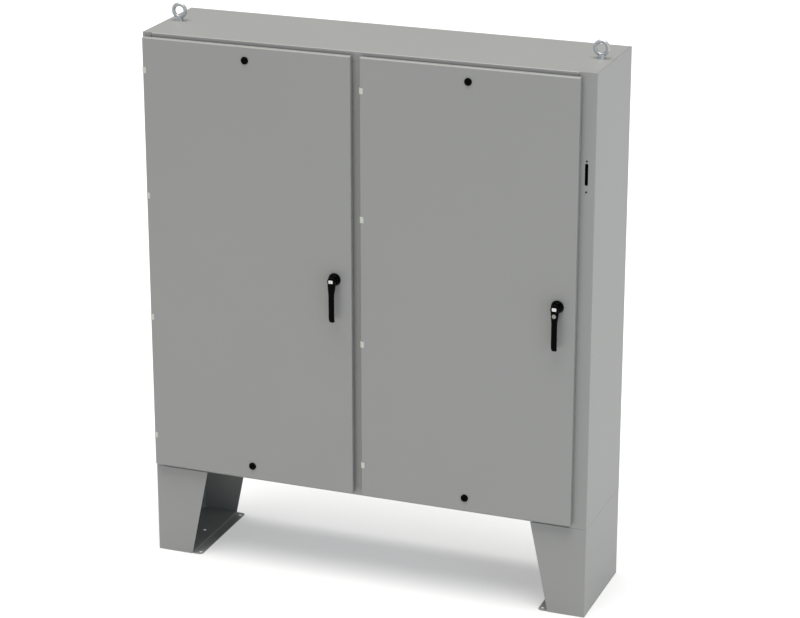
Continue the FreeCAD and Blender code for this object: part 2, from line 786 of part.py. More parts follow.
def latch_rod(side, way):
    """way is 1 for the rod that goes up and -1 for the one that goes down; both are drawn in."""
    x = handle_x(side) - way * rod_x
    half = rod_w / 2
    z_pin = zm - way * rod_start
    end = (open_z1 if way > 0 else open_z0) - way * (sheet + rod_short)
    bar_end = end - way * rod_tip_len
    z0, z1 = sorted((z_pin, bar_end))
    bar = box(x - half, x + half, y_rod0, y_rod1, z0, z1)
    bar = bar.fuse(box(x - pin_eye, x + pin_eye, y_rod0, y_rod1, z_pin - pin_eye, z_pin + pin_eye))
    slot_x = (cam_pin_circle - rod_start) / 2 + cam_pin_r + cam_pin_play_x
    slot_z = cam_pin_r + cam_pin_play_z
    bar = bar.cut(box(x - slot_x, x + slot_x, y_rod0, y_rod1, z_pin - slot_z, z_pin + slot_z))
    y0, y1 = y_rod0 - slide_clear, y_rod1 + rod_thick
    ramp = end - way * rod_tip_ramp
    wedge = [(y0, bar_end), (y1, bar_end), (y1, ramp), (y_rod1, end), (y0, end)]
    tip = prism(wedge, "yz", x - rod_tip_w / 2, x + rod_tip_w / 2)
    return [bar.removeSplitter(), tip]


def rod_guides(side):
    made = []
    half, gap = rod_w / 2, guide_clear
    for way, far in ((1, open_z1 - stiffener_short), (-1, open_z0 + stiffener_short)):
        x = handle_x(side) - way * rod_x
        for z in (far - way * guide_end, (far + zm) / 2):
            z0, z1 = z - guide_h / 2, z + guide_h / 2
            block = box(x - half - guide_wall, x + half + guide_wall, y_hat, y_rod1 + guide_wall,
                        z0, z1)
            made.append(block.cut(box(x - half - gap, x + half + gap, y_rod0 - gap,
                                      y_rod1 + gap, z0, z1)))
    return made


# ---- quarter-turn latches
def quarter_turn_bodies(side):
    x = sum(doors[side]) / 2
    made = []
    y_head = y_door - quarter_head_h
    length = quarter_head_h + quarter_barrel_len
    for z in quarter_zs.values():
        body = cylinder(x, y_head, z, quarter_head_r, quarter_head_h)
        rim = [e for e in body.Edges if abs(e.CenterOfMass.y - y_head) < 0.01]
        body = body.makeFillet(quarter_round, rim)
        body = body.fuse(cylinder(x, y_door, z, quarter_barrel_r, quarter_barrel_len))
        body = body.removeSplitter()
        made.append(cut_all(body, [
            cylinder(x, y_head, z, quarter_stem_r + shaft_clear, length),
            cylinder(x, y_head, z, quarter_core_r + hole_clear, quarter_head_h)]))
        made.append(nut(x, y_skin, z, quarter_nut, quarter_nut_h, quarter_barrel_r, Y))
    return made


def quarter_turn(side, place):
    """The core, cam and nut of one latch, with the cam turned clear of the opening's edge."""
    x, z = sum(doors[side]) / 2, quarter_zs[place]
    y_face = y_door - quarter_head_h + quarter_core_sunk
    y_end = y_rod1 + quarter_stem_past
    half_w, half_len = quarter_slot_w / 2, quarter_slot_len / 2
    head = cylinder(x, y_face, z, quarter_core_r, y_door - y_face)
    head = head.cut(box(x - half_len, x + half_len, y_face, y_face + quarter_slot_w,
                        z - half_w, z + half_w))
    core = head.fuse(cylinder(x, y_door, z, quarter_stem_r, y_end - y_door)).removeSplitter()
    way = -1 if place == "upper" else 1
    half = quarter_cam_w / 2
    a, b = sorted((x - way * half, x + way * quarter_cam_reach))
    y_back = y_rod0 + quarter_cam_thick
    cam = box(a, b, y_rod0, y_back, z - half, z + half)
    cam = cam.cut(cylinder(x, y_rod0, z, quarter_stem_r + thread_fit, quarter_cam_thick))
    holder = nut(x, y_back, z, quarter_cam_nut, quarter_cam_nut_h, quarter_stem_r, Y)
    return [core, cam, holder]


pocket_x0 = doors["left"][0] + brace_at + brace_w / 2 + brace_foot + pocket_from_brace


def print_pocket():
    x0, z0, wall = pocket_x0, zm - pocket_h / 2, pocket_wall
    x1, z1 = x0 + pocket_w, z0 + pocket_h
    pocket = box(x0, x1, y_skin, y_skin + pocket_d, z0, z1)
    return [pocket.cut(box(x0 + wall, x1 - wall, y_skin + wall, y_skin + pocket_d - wall,
                           z0 + wall, z1))]


# ---- mounting panel
def mounting_panel():
    x0, x1 = -panel_x, panel_x
    t = panel_sheet
    plate = box(x0, x1, y_panel, y_panel + panel_flange, panel_z0, panel_z1)
    plate = soften(plate, bend, lambda p: abs(p.y - y_panel) < 0.01)
    plate = plate.cut(box(x0 + t, x1 - t, y_panel + t, y_panel + panel_flange,
                          panel_z0 + t, panel_z1 - t))
    holes = [cylinder(x, y_panel, z, stud_r + stud_hole_clear, t)
             for x in stud_xs for z in stud_zs]
    return [cut_all(plate, holes)]


def panel_studs():
    made = []
    y0, y_washer = y_panel - stud_past, y_panel - washer_thick
    for x in stud_xs:
        for z in stud_zs:
            made.append(cylinder(x, y0, z, stud_r, yb - sheet - y0))
            washer = cylinder(x, y_washer, z, washer_r, washer_thick)
            made.append(washer.cut(cylinder(x, y_washer, z, stud_r + thread_fit, washer_thick)))
            made.append(nut(x, y_washer - stud_nut_h, z, stud_nut, stud_nut_h, stud_r, Y))
    return made


# ---- transfer switch
def switch_frame():
    made = []
    z0, z1 = units["lower"][0] - frame_margin_z, units["upper"][1] + frame_margin_z
    half, w = frame_rail_w / 2, frame_wall
    for side in (-1, 1):
        x = bay_right + side * frame_rail_at
        rail = box(x - half, x + half, y_frame, y_panel, z0, z1)
        made.append(rail.cut(box(x - half + w, x + half - w, y_frame + w, y_panel, z0, z1)))
    return made


def source_switch(unit):
    z0, z1 = units[unit]
    z, half_x = (z0 + z1) / 2, switch_w / 2
    case = box(bay_right - half_x, bay_right + half_x, y_case, y_frame, z0, z1)
    case = soften(case, case_round, lambda p: abs(p.y - y_case) < 0.01)
    half_x, half_z = switch_nose_w / 2, switch_nose_h / 2
    nose = box(bay_right - half_x, bay_right + half_x, y_nose, y_case + case_round,
               z - half_z, z + half_z)
    nose = soften(nose, case_round, lambda p: abs(p.y - y_nose) < 0.01)
    case = case.fuse(nose).removeSplitter()
    half_x = toggle_w / 2 + case_gap
    half_z = toggle_pivot * math.tan(tilt) + toggle_thick + toggle_hub_r
    slot = box(bay_right - half_x, bay_right + half_x, y_nose, y_pivot + toggle_hub_r + case_gap,
               z - half_z, z + half_z)
    return [case.cut(slot)]


def toggle(unit):
    """Starts tilted up; the yoke carries it down through twice the tilt."""
    z = sum(units[unit]) / 2
    x0, x1 = bay_right - toggle_w / 2, bay_right + toggle_w / 2
    y_tip = y_yoke - toggle_over
    arm = box(x0, x1, y_tip, y_pivot, z - toggle_thick / 2, z + toggle_thick / 2)
    arm = arm.fuse(cylinder(x0, y_pivot, z, toggle_hub_r, toggle_w, X)).removeSplitter()
    arm = soften(arm, toggle_thick / 5, lambda p: p.y < y_tip + 0.01)
    arm.rotate(Vector(0, y_pivot, z), X, -toggle_tilt)
    return [arm]


def transfer_yoke():
    z_low, z_high = (sum(units[u]) / 2 + yoke_up for u in ("lower", "upper"))
    y0, y1 = y_yoke - yoke_thick / 2, y_yoke + yoke_thick / 2
    plate = box(bay_right - yoke_w / 2, bay_right + yoke_w / 2, y0, y1,
                z_low - yoke_past, z_high + yoke_past)
    half_x = toggle_w / 2 + toggle_play
    half_z = toggle_thick / 2 / math.cos(tilt) + yoke_thick / 2 * math.tan(tilt) + toggle_play
    for z in (z_low, z_high):
        plate = plate.cut(box(bay_right - half_x, bay_right + half_x, y0, y1,
                              z - half_z, z + half_z))
    z, half = zm + yoke_up, yoke_finger_h / 2
    finger = box(bay_right - yoke_finger / 2, bay_right + yoke_finger / 2, y1,
                 y_frame - operator_front + finger_into - toggle_play, z - half, z + half)
    return [plate.fuse(finger).removeSplitter()]


def transfer_operator():
    front, back = y_frame - operator_front, y_frame - operator_back
    half_x, half_z = operator_w / 2, operator_h / 2
    body = box(bay_right - half_x, bay_right + half_x, front, back, zm - half_z, zm + half_z)
    body = soften(body, case_round, lambda p: abs(p.y - front) < 0.01)
    leg = operator_leg / 2
    for sx in (-1, 1):
        for sz in (-1, 1):
            x, z = bay_right + sx * (half_x - leg), zm + sz * (half_z - leg)
            body = body.fuse(box(x - leg, x + leg, back, y_frame, z - leg, z + leg))
    half_w, half_h = operator_guide_w / 2, operator_guide_h / 2
    for sz in (-1, 1):
        z = zm + sz * operator_guide_at
        body = body.fuse(box(bay_right - half_w, bay_right + half_w, y_yoke - yoke_thick, front,
                             z - half_h, z + half_h))
    gap = operator_play
    half_w = yoke_w / 2 + gap
    body = body.cut(box(bay_right - half_w, bay_right + half_w, y_yoke - yoke_thick / 2 - gap,
                        y_yoke + yoke_thick / 2 + gap, zm - half_z, zm + half_z))
    room = yoke_up + yoke_finger_h / 2 + toggle_play
    half_w = yoke_finger / 2 + toggle_play
    body = body.cut(box(bay_right - half_w, bay_right + half_w, front, front + finger_into,
                        zm - room, zm + room))
    return [body.removeSplitter()]


def load_busbars():
    made = []
    z0, z1 = units["lower"][1], units["upper"][0]
    y1 = y_frame - bar_plane
    half, tall = bar_w / 2, tap_h / 2
    for i, x in enumerate(pole_xs):
        z = zm + (i - 1) * phase_step
        bar = box(x - half, x + half, y1 - bar_thick, y1, z0, z1)
        link = box(x - half, x + half, y1, y1 + tap_gap, z - tall, z + tall)
        tap = box(x - half, load_lug_x - lug / 2, y1 + tap_gap, y1 + tap_gap + bar_thick,
                  z - tall, z + tall)
        made.append(bar.fuse([link, tap]).removeSplitter())
    return made


def terminal_lugs():
    """Box lugs: three for each source and three for the load, each with a square cable way."""
    made = []
    way_half, half = lug_bore / 2, lug / 2
    y1 = y_frame - lug_plane
    y_mid = y1 - half
    for x in pole_xs:
        for z0, way in ((units["upper"][1], 1), (units["lower"][0], -1)):
            a, b = sorted((z0, z0 + way * lug_h))
            block = box(x - half, x + half, y1 - lug, y1, a, b)
            c, d = sorted((z0 + way * lug_back, z0 + way * lug_h))
            made.append(block.cut(box(x - way_half, x + way_half, y_mid - way_half,
                                      y_mid + way_half, c, d)))
            made.append(hexagon(x, y1 - lug - lug_screw_h, (a + b) / 2, lug_screw,
                                lug_screw_h, Y))
    y1 = y_frame - bar_plane + tap_gap + bar_thick
    y_mid = y1 - half
    x0 = load_lug_x - half
    for i in (-1, 0, 1):
        z = zm + i * phase_step
        block = box(x0, x0 + load_lug_w, y1 - lug, y1, z - half, z + half)
        made.append(block.cut(box(x0 + lug_back, x0 + load_lug_w, y_mid - way_half,
                                  y_mid + way_half, z - way_half, z + way_half)))
        made.append(hexagon(load_lug_x, y1 - lug - lug_screw_h, z, lug_screw, lug_screw_h, Y))
    return made


# ---- control side
def clamp_bar(z, legs):
    """A flat copper bar on two legs, with a row of clamp screws."""
    x0, x1 = bay_left - rail_bar_len / 2, bay_left + rail_bar_len / 2
    y1 = y_panel - legs
    y0 = y1 - rail_bar_thick
    made = [box(x0, x1, y0, y1, z - rail_bar_h / 2, z + rail_bar_h / 2)]
    for x in (x0 + rail_leg_inset, x1 - rail_leg_inset):
        made.append(cylinder(x, y1, z, rail_leg_r, legs))
    count = int((rail_bar_len - 2 * rail_screw_margin) // rail_screw_pitch)
    for i in range(count):
        x = bay_left + (i - (count - 1) / 2) * rail_screw_pitch
        made.append(cylinder(x, y0 - rail_screw_h, z, rail_screw_r, rail_screw_h))
    return made


def ground_bar():
    return clamp_bar(panel_z0 + ground_up, ground_legs)


def neutral_bar():
    return clamp_bar(panel_z0 + neutral_up, neutral_legs)


y_control = y_panel - control_d
control_z = zm + control_up


def screen_box(clear, y0, y1):
    half_w, half_h = screen_w / 2 + clear, screen_h / 2 + clear
    z = control_z + screen_rise
    return box(bay_left - half_w, bay_left + half_w, y0, y1, z - half_h, z + half_h)


def controller_case():
    half_w, half_h = control_w / 2, control_h / 2
    case = box(bay_left - half_w, bay_left + half_w, y_control, y_panel,
               control_z - half_h, control_z + half_h)
    case = soften(case, control_round, lambda p: abs(p.y - y_control) < 0.01)
    return [case.cut(screen_box(screen_clear, y_control, y_control + screen_sunk))]


def controller_screen():
    y1 = y_control + screen_sunk
    return [screen_box(0, y1 - screen_thick, y1)]


def terminal_strip():
    z = zm + terminal_up
    y1 = y_panel - din_d
    y0 = y_panel - terminal_d
    made = [box(bay_left - din_w / 2, bay_left + din_w / 2, y1, y_panel,
                z - din_h / 2, z + din_h / 2)]
    half = terminal_h / 2
    for i in range(terminal_count):
        x = bay_left - terminal_first + i * terminal_pitch
        block = box(x, x + terminal_w, y0, y1, z - half, z + half)
        steps = [box(x, x + terminal_w, y0, y0 + terminal_step, z - half, z - terminal_step),
                 box(x, x + terminal_w, y0, y0 + terminal_step, z + terminal_step, z + half)]
        made.append(cut_all(block, steps))
    return made


def duct(x0, x1, z0, z1):
    """A wiring duct open at both ends: a base with cable slots in its long sides, and a cover."""
    w, y0 = duct_wall, y_panel - duct_d
    y_base = y0 + w
    base = box(x0, x1, y_base, y_panel, z0, z1)
    upright = z1 - z0 > x1 - x0
    inner = (x0 + w, x1 - w, z0, z1) if upright else (x0, x1, z0 + w, z1 - w)
    base = base.cut(box(*inner[:2], y_base, y_panel - w, *inner[2:]))
    start, length = (z0, z1 - z0) if upright else (x0, x1 - x0)
    slots = []
    for i in range(int(length // duct_slot_pitch) - 1):
        a = start + (i + 1) * duct_slot_pitch
        b = a + duct_slot_w
        ends = (x0, x1, a, b) if upright else (a, b, z0, z1)
        slots.append(box(*ends[:2], y_base, y_panel - duct_slot_back, *ends[2:]))
    return [base.cut(Part.makeCompound(slots)), box(x0, x1, y0, y_base, z0, z1)]


duct_reach = bay_left - stud_xs[0] - washer_r - duct_from_stud
duct_x0, duct_x1 = bay_left - duct_reach, bay_left + duct_reach
duct_z0, duct_z1 = zm + duct_low, zm + duct_high


def wire_ducts():
    made = duct(duct_x0, duct_x1, duct_z0, duct_z0 + duct_w)
    made += duct(duct_x0, duct_x1, duct_z1, duct_z1 + duct_w)
    made += duct(duct_x0, duct_x0 + duct_w, duct_z0 + duct_w + duct_break, duct_z1 - duct_break)
    return made


nodes = {
    "side_panel_left": side_panel_left, "side_panel_right": side_panel_right,
    "roof_panel": roof_panel, "bottom_panel": bottom_panel, "back_panel": back_panel,
    "door_collars": door_collars, "center_post": center_post, "stand_bolts": stand_bolts,
    "eyebolts": eyebolts, "eyebolt_nuts": eyebolt_nuts, "hinge_leaves": hinge_leaves,
    "hinge_pins": hinge_pins, "print_pocket": print_pocket, "lock_cylinder": lock_cylinder,
    "mounting_panel": mounting_panel, "panel_studs": panel_studs, "ground_bar": ground_bar,
    "neutral_bar": neutral_bar, "switch_frame": switch_frame,
    "transfer_operator": transfer_operator, "transfer_yoke": transfer_yoke,
    "load_busbars": load_busbars, "terminal_lugs": terminal_lugs,
    "controller_case": controller_case, "controller_screen": controller_screen,
    "terminal_strip": terminal_strip, "wire_ducts": wire_ducts,
    "source_1_switch": lambda: source_switch("upper"),
    "source_2_switch": lambda: source_switch("lower"),
    "toggle_1": lambda: toggle("upper"), "toggle_2": lambda: toggle("lower"),
}
per_side = {
    "floor_stand": floor_stand, "door_panel": door_panel, "door_stiffener": door_stiffener,
    "door_gasket": door_gasket, "hinge_arms": hinge_arms, "handle_base": handle_base,
    "handle_lever": handle_lever, "latch_cam": latch_cam, "rod_guides": rod_guides,
    "quarter_turn_bodies": quarter_turn_bodies,
}
for side in doors:
    for name, make in per_side.items():
        nodes[f"{name}_{side}"] = lambda make=make, side=side: make(side)
    for name, way in {"latch_rod_up": 1, "latch_rod_down": -1}.items():
        nodes[f"{name}_{side}"] = lambda way=way, side=side: latch_rod(side, way)
    for place in quarter_zs:
        nodes[f"quarter_turn_{place}_{side}"] = (
            lambda side=side, place=place: quarter_turn(side, place))

os.makedirs("parts", exist_ok=True)
for name, make in nodes.items():
    solids = make()
    for s in solids:
        if not s.isValid() or s.Volume <= 0:
            raise ValueError(f"{name} has a solid that is not sound")
    shape = solids[0] if len(solids) == 1 else Part.makeCompound(solids)
    shape.exportStep(f"parts/{name}.step")
print(len(nodes), "nodes")
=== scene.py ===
import json
import math

import bmesh
import bpy
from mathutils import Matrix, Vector


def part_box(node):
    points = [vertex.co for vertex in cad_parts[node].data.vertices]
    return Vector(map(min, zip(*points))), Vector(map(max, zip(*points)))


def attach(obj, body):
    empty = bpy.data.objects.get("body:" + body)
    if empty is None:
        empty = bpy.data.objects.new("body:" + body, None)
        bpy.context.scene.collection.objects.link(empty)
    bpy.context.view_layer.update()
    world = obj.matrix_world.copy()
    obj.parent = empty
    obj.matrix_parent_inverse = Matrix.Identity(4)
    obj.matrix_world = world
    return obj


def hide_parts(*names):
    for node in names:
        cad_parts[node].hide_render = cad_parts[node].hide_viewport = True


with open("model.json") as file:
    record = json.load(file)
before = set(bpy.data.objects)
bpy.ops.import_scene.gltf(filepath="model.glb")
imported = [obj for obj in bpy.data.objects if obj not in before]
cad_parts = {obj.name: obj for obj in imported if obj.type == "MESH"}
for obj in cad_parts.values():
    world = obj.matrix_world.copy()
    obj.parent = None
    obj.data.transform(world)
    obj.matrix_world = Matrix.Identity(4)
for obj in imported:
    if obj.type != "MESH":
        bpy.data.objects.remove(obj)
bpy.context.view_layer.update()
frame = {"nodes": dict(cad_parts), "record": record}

# a transfer switch in a two-door steel cabinet: finishes, small formed pieces, light and camera
nodes = frame["nodes"]
sides = ("left", "right")
mm = 0.001


class Wire:
    # a socket in a material's tree: sums and products of wires add Math nodes
    def __init__(self, tree, socket=None):
        self.tree = tree
        self.socket = socket

    def node(self, kind, settings=None, inputs=None, out=0):
        made = self.tree.nodes.new(kind)
        for key, value in (settings or {}).items():
            setattr(made, key, value)
        for key, value in (inputs or {}).items():
            if isinstance(value, Wire):
                self.tree.links.new(value.socket, made.inputs[key])
            else:
                made.inputs[key].default_value = value
        return Wire(self.tree, made.outputs[out])

    def calc(self, operation, a, b):
        return self.node("ShaderNodeMath", {"operation": operation}, {0: a, 1: b})

    def __add__(self, other):
        return self.calc("ADD", self, other)

    def __sub__(self, other):
        return self.calc("SUBTRACT", self, other)

    def __rsub__(self, other):
        return self.calc("SUBTRACT", other, self)

    def __mul__(self, other):
        return self.calc("MULTIPLY", self, other)

    __radd__ = __add__
    __rmul__ = __mul__


def noiseAt(wire, place, scale, detail=3.0, rough=0.5):
    return wire.node("ShaderNodeTexNoise", {}, {"Vector": place, "Scale": scale, "Detail": detail,
                                                "Roughness": rough})


def blendColour(wire, factor, first, second):
    # sockets 6 and 7 are the two colours, and output 2 the result
    return wire.node("ShaderNodeMix", {"data_type": "RGBA"}, {0: factor, 6: first, 7: second}, out=2)


def colour(rgb):
    return (rgb[0], rgb[1], rgb[2], 1.0)


# what a user would change in a finish; sizes are features per metre, depths are metres
finishes = {
    "cabinetPaint": dict(base=(0.258, 0.258, 0.253), shade=0.965, patch=2.4, rough=0.42, roughVary=0.07,
                         grain=620, depth=0.00005, coat=0.1, coatRough=0.3, dust=0.02),
    "hingePaint": dict(base=(0.50, 0.51, 0.46), shade=0.93, patch=20, rough=0.42, roughVary=0.08,
                       grain=800, depth=0.00004, coat=0.1, dust=0.0),
    "whiteEnamel": dict(base=(0.74, 0.74, 0.72), shade=0.97, patch=3, rough=0.34, roughVary=0.06,
                        grain=420, depth=0.00005, coat=0.3, dust=0.0),
    "zincPlate": dict(base=(0.60, 0.61, 0.62), shade=0.8, patch=38, rough=0.34, roughVary=0.16,
                      grain=1500, depth=0.00003, metal=1.0),
    "copperBar": dict(base=(0.78, 0.42, 0.28), shade=0.78, patch=14, rough=0.36, roughVary=0.14,
                      grain=1100, depth=0.00002, metal=1.0, drawn=26.0),
    "tinPlate": dict(base=(0.66, 0.66, 0.67), shade=0.85, patch=50, rough=0.40, roughVary=0.12,
                     grain=1300, depth=0.00003, metal=1.0),
    "eyeZinc": dict(base=(0.47, 0.49, 0.51), shade=0.86, patch=45, rough=0.45, roughVary=0.12,
                    grain=1400, depth=0.00003, metal=0.55, specular=0.4),
    "lockChrome": dict(base=(0.28, 0.27, 0.24), shade=0.85, patch=90, rough=0.28, roughVary=0.12,
                       grain=2600, depth=0.00001, metal=1.0),
    "blackNylon": dict(base=(0.0008, 0.0008, 0.0009), shade=0.75, patch=30, rough=0.18, roughVary=0.06,
                       grain=2600, depth=0.00002, specular=0.03),
    "switchCase": dict(base=(0.024, 0.025, 0.027), shade=0.8, patch=9, rough=0.47, roughVary=0.1,
                       grain=1900, depth=0.00006),
    "togglePlastic": dict(base=(0.40, 0.015, 0.012), shade=0.85, patch=24, rough=0.32, roughVary=0.08,
                          grain=1700, depth=0.00002),
    "greyMoulding": dict(base=(0.30, 0.31, 0.32), shade=0.93, patch=8, rough=0.48, roughVary=0.08,
                         grain=1900, depth=0.00005),
    "ductPvc": dict(base=(0.46, 0.47, 0.47), shade=0.95, patch=6, rough=0.52, roughVary=0.06,
                    grain=900, depth=0.00003, drawn=18.0),
    "naturalNylon": dict(base=(0.66, 0.65, 0.58), shade=0.92, patch=40, rough=0.42, roughVary=0.08,
                         grain=1600, depth=0.00003),
    "foamGasket": dict(base=(0.020, 0.020, 0.021), shade=0.6, patch=60, rough=0.88, roughVary=0.08,
                       grain=700, depth=0.0003),
    "badgeFilm": dict(base=(0.66, 0.66, 0.65), shade=0.85, patch=160, rough=0.4, roughVary=0.08,
                      grain=2200, depth=0.00001),
    "lampGreen": dict(base=(0.03, 0.30, 0.06), shade=0.8, patch=200, rough=0.2, roughVary=0.06,
                      grain=1500, depth=0.0, coat=0.6),
    "lampAmber": dict(base=(0.62, 0.27, 0.03), shade=0.8, patch=200, rough=0.2, roughVary=0.06,
                      grain=1500, depth=0.0, coat=0.6),
    "lampRed": dict(base=(0.42, 0.02, 0.015), shade=0.8, patch=200, rough=0.2, roughVary=0.06,
                    grain=1500, depth=0.0, coat=0.6),
    "displayGlass": dict(base=(0.012, 0.020, 0.024), shade=0.8, patch=12, rough=0.12, roughVary=0.05,
                         grain=300, depth=0.0, coat=1.0),
}


# how every finish mixes its noises: shares of the tone, and each noise's detail
finishMix = dict(patchShare=0.7, patchDetail=4, grainDetail=2, grainRough=0.6, speckleSize=0.31,
                 speckleDetail=1, dustHeight=0.35, dustGain=4, dustTone=(0.42, 0.40, 0.36),
                 roughShare=0.5, bumpStrength=0.6)


def makeFinish(name):
    f, mix = finishes[name], finishMix
    made = bpy.data.materials.new(name)
    made.use_nodes = True
    tree = made.node_tree
    shader = tree.nodes["Principled BSDF"]
    wire = Wire(tree)
    place = wire.node("ShaderNodeTexCoord", out=3)
    if "drawn" in f:  # drawn stock has its grain pulled out along the bar
        place = wire.node("ShaderNodeVectorMath", {"operation": "MULTIPLY"},
                          {0: place, 1: (1, 1, 1 / f["drawn"])})
    patches = noiseAt(wire, place, f["patch"], mix["patchDetail"])
    grain = noiseAt(wire, place, f["grain"], mix["grainDetail"], mix["grainRough"])
    speckle = noiseAt(wire, place, f["grain"] * mix["speckleSize"], mix["speckleDetail"])
    mask = patches * mix["patchShare"] + speckle * (1 - mix["patchShare"])
    dark = tuple(v * f["shade"] for v in f["base"])
    light = tuple(min(1, v * (2 - f["shade"])) for v in f["base"])
    tone = blendColour(wire, mask, colour(dark), colour(light))
    if f.get("dust"):  # a little floor dust fades out up the stands
        height = wire.node("ShaderNodeSeparateXYZ", {}, {0: place}, out=2)
        fade = wire.node("ShaderNodeMapRange", {}, {0: height, 1: 0.0, 2: mix["dustHeight"],
                                                    3: f["dust"] * mix["dustGain"], 4: 0.0})
        tone = blendColour(wire, fade * speckle, tone, colour(mix["dustTone"]))
    tree.links.new(tone.socket, shader.inputs["Base Color"])
    waver = patches * mix["roughShare"] + grain * (1 - mix["roughShare"])
    rough = f["rough"] - f["roughVary"] / 2 + waver * f["roughVary"]
    tree.links.new(rough.socket, shader.inputs["Roughness"])
    if f["depth"]:
        bump = wire.node("ShaderNodeBump", {}, {"Strength": mix["bumpStrength"], "Distance": f["depth"],
                                                "Height": grain})
        tree.links.new(bump.socket, shader.inputs["Normal"])
    shader.inputs["Metallic"].default_value = f.get("metal", 0.0)
    shader.inputs["Coat Weight"].default_value = f.get("coat", 0.0)
    shader.inputs["Coat Roughness"].default_value = f.get("coatRough", 0.25)
    shader.inputs["Specular IOR Level"].default_value = f.get("specular", 0.5)
    made.diffuse_color = colour(f["base"])
    return made


materials = {name: makeFinish(name) for name in finishes}
print("finishes made:", len(materials))

# the record's slots, and the finish each one gets
slotFinish = {
    "enclosure_paint": "cabinetPaint", "hinge_metal": "hingePaint", "zinc_hardware": "zincPlate",
    "black_hardware": "blackNylon", "guide_plastic": "naturalNylon", "lock_steel": "lockChrome",
    "gasket_foam": "foamGasket", "panel_white": "whiteEnamel", "pocket_plastic": "greyMoulding",
    "bar_metal": "copperBar", "lug_metal": "tinPlate", "case_plastic": "switchCase",
    "toggle_plastic": "togglePlastic", "controller_plastic": "greyMoulding",
    "screen_glass": "displayGlass", "terminal_plastic": "greyMoulding", "duct_plastic": "ductPvc",
}
nodeSlot = {s["node"]: s["material_slot"] for s in frame["record"]["subparts"]}


def dress(piece, finish):
    piece.data.materials.clear()
    piece.data.materials.append(materials[finish])


nodeFinish = {"eyebolts": "eyeZinc"}
for name, piece in nodes.items():
    dress(piece, nodeFinish.get(name, slotFinish[nodeSlot[name]]))
print("cabinet nodes dressed:", len(nodes))


def newPiece(name, bm, body, finish, smooth=True):
    mesh = bpy.data.meshes.new(name)
    bmesh.ops.recalc_face_normals(bm, faces=bm.faces)
    bm.to_mesh(mesh)
    bm.free()
    piece = bpy.data.objects.new(name, mesh)
    bpy.context.scene.collection.objects.link(piece)
    for face in mesh.polygons:
        face.use_smooth = smooth
    dress(piece, finish)
    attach(piece, body)
    return piece


def applyModifiers(piece):
    bpy.context.view_layer.update()
    graph = bpy.context.evaluated_depsgraph_get()
    done = bpy.data.meshes.new_from_object(piece.evaluated_get(graph))
    piece.modifiers.clear()
    piece.data = done


def addLoft(bm, rings):
    # skins a list of closed rings of points, and closes both ends
    rows = [[bm.verts.new(p) for p in ring] for ring in rings]
    for a, b in zip(rows, rows[1:]):
        for i in range(len(a)):
            k = (i + 1) % len(a)
            bm.faces.new((a[i], a[k], b[k], b[i]))
    bm.faces.new(rows[0][::-1])
    bm.faces.new(rows[-1])


def superPoints(halfU, halfV, power, count):
    # a rounded rectangle about the origin: power 2 is an ellipse, and higher is squarer
    points = []
    for i in range(count):
        a = 2 * math.pi * i / count
        c, s = math.cos(a), math.sin(a)
        points.append((math.copysign(abs(c) ** (2 / power), c) * halfU,
                       math.copysign(abs(s) ** (2 / power), s) * halfV))
    return points


roundSteps = 4  # steps round the front edge of a button or plate


def addButton(bm, x, z, back, front, halfX, halfZ, edge, power=5, count=32):
    # a plate that faces the doors' side, with its front edge rounded over
    rings = [[Vector((x + u, back, z + v)) for u, v in superPoints(halfX, halfZ, power, count)]]
    for i in range(roundSteps + 1):
        a = math.pi / 2 * i / roundSteps
        less = edge * (1 - math.cos(a))
        y = front + edge * (1 - math.sin(a))
        rings.append([Vector((x + u, y, z + v))
                      for u, v in superPoints(halfX - less, halfZ - less, power, count)])
    addLoft(bm, rings)


# a screw head's and a bolt head's proportions, as shares of the height unless the note says otherwise
screwHead = dict(disc=0.45, discEdge=0.1, sides=24, arcSteps=12, overlap=0.9, shoulder=0.85, rounding=0.15)
boltHead = dict(washerThick=0.16, washerEdge=0.04, sides=32, chamferFrom=0.86,
                washerReach=0.62, chamferTo=0.87)  # the last two are shares of the width


def addScrew(bm, x, z, back, radius, height, slot, turn):
    # a slotted cheese-head screw: a thin disc, and two raised halves with the slot between them
    head = screwHead
    step = height * head["disc"]
    addButton(bm, x, z, back, back - step, radius, radius, height * head["discEdge"], 2, head["sides"])
    for sign in (-1, 1):
        flat = math.asin(slot / 2 / radius)
        angles = [flat + (math.pi - 2 * flat) * i / head["arcSteps"] for i in range(head["arcSteps"] + 1)]
        rings = []
        for y, less in ((back - step * head["overlap"], 0.0), (back - height * head["shoulder"], 0.0),
                        (back - height, height * head["rounding"])):
            ring = []
            for a in angles:
                u, v = (radius - less) * math.cos(a), sign * (radius - less) * math.sin(a)
                v = sign * max(abs(v), slot / 2)
                ring.append(Vector((x + u * math.cos(turn) - v * math.sin(turn), y,
                                    z + u * math.sin(turn) + v * math.cos(turn))))
            rings.append(ring if sign > 0 else ring[::-1])
        addLoft(bm, rings)


def addHexBolt(bm, x, z, back, across, height, turn):
    # a hex head with its corners chamfered, on a washer
    head = boltHead
    washer, thick = across * head["washerReach"], head["washerThick"]
    addButton(bm, x, z, back, back - height * thick, washer, washer, height * head["washerEdge"], 2,
              head["sides"])
    radius = across / math.sqrt(3)
    rings = []
    for part, shrink in ((0.0, 1.0), (head["chamferFrom"], 1.0), (1.0, head["chamferTo"])):
        rings.append([Vector((x + radius * shrink * math.cos(turn + math.pi / 3 * i),
                              back - height * (thick + (1 - thick) * part),
                              z + radius * shrink * math.sin(turn + math.pi / 3 * i))) for i in range(6)])
    addLoft(bm, rings)


